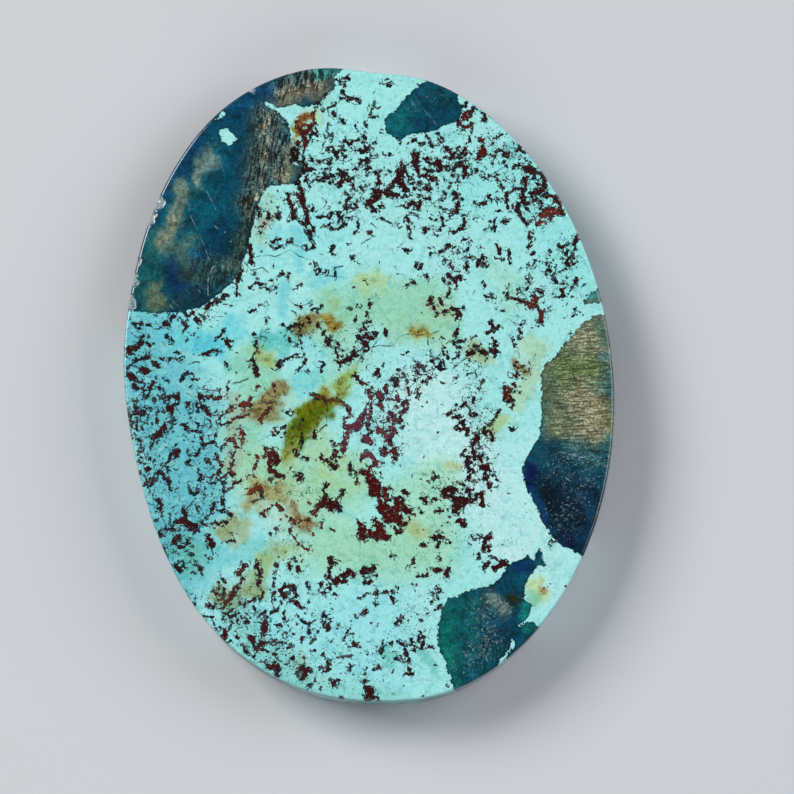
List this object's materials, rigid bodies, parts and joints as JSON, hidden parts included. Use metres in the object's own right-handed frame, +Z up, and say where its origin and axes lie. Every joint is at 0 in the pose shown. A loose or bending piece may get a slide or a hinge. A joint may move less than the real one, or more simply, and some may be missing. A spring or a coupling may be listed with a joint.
{
  "type": "polished oval shattuckite cabochon",
  "caption": "Polished oval slice of blue and turquoise shattuckite with dark red flecks, a nearly flat face and a flat back, for a jewellery setting or a display.",
  "frame": {"origin": "middle of the stone's bounding box, on the surface that its flat back rests on", "axes": "+X across the oval, +Y along it towards the head with the large blue patch on its left, +Z up out of the polished face"},
  "size_m": [0.0338, 0.0448, 0.0048],
  "materials": {
    "stone": "polished stone, pale turquoise with deep blue patches and dark red-brown flecks"
  },
  "bodies": {
    "root": {"stone": "stone"}
  },
  "joints": []
}
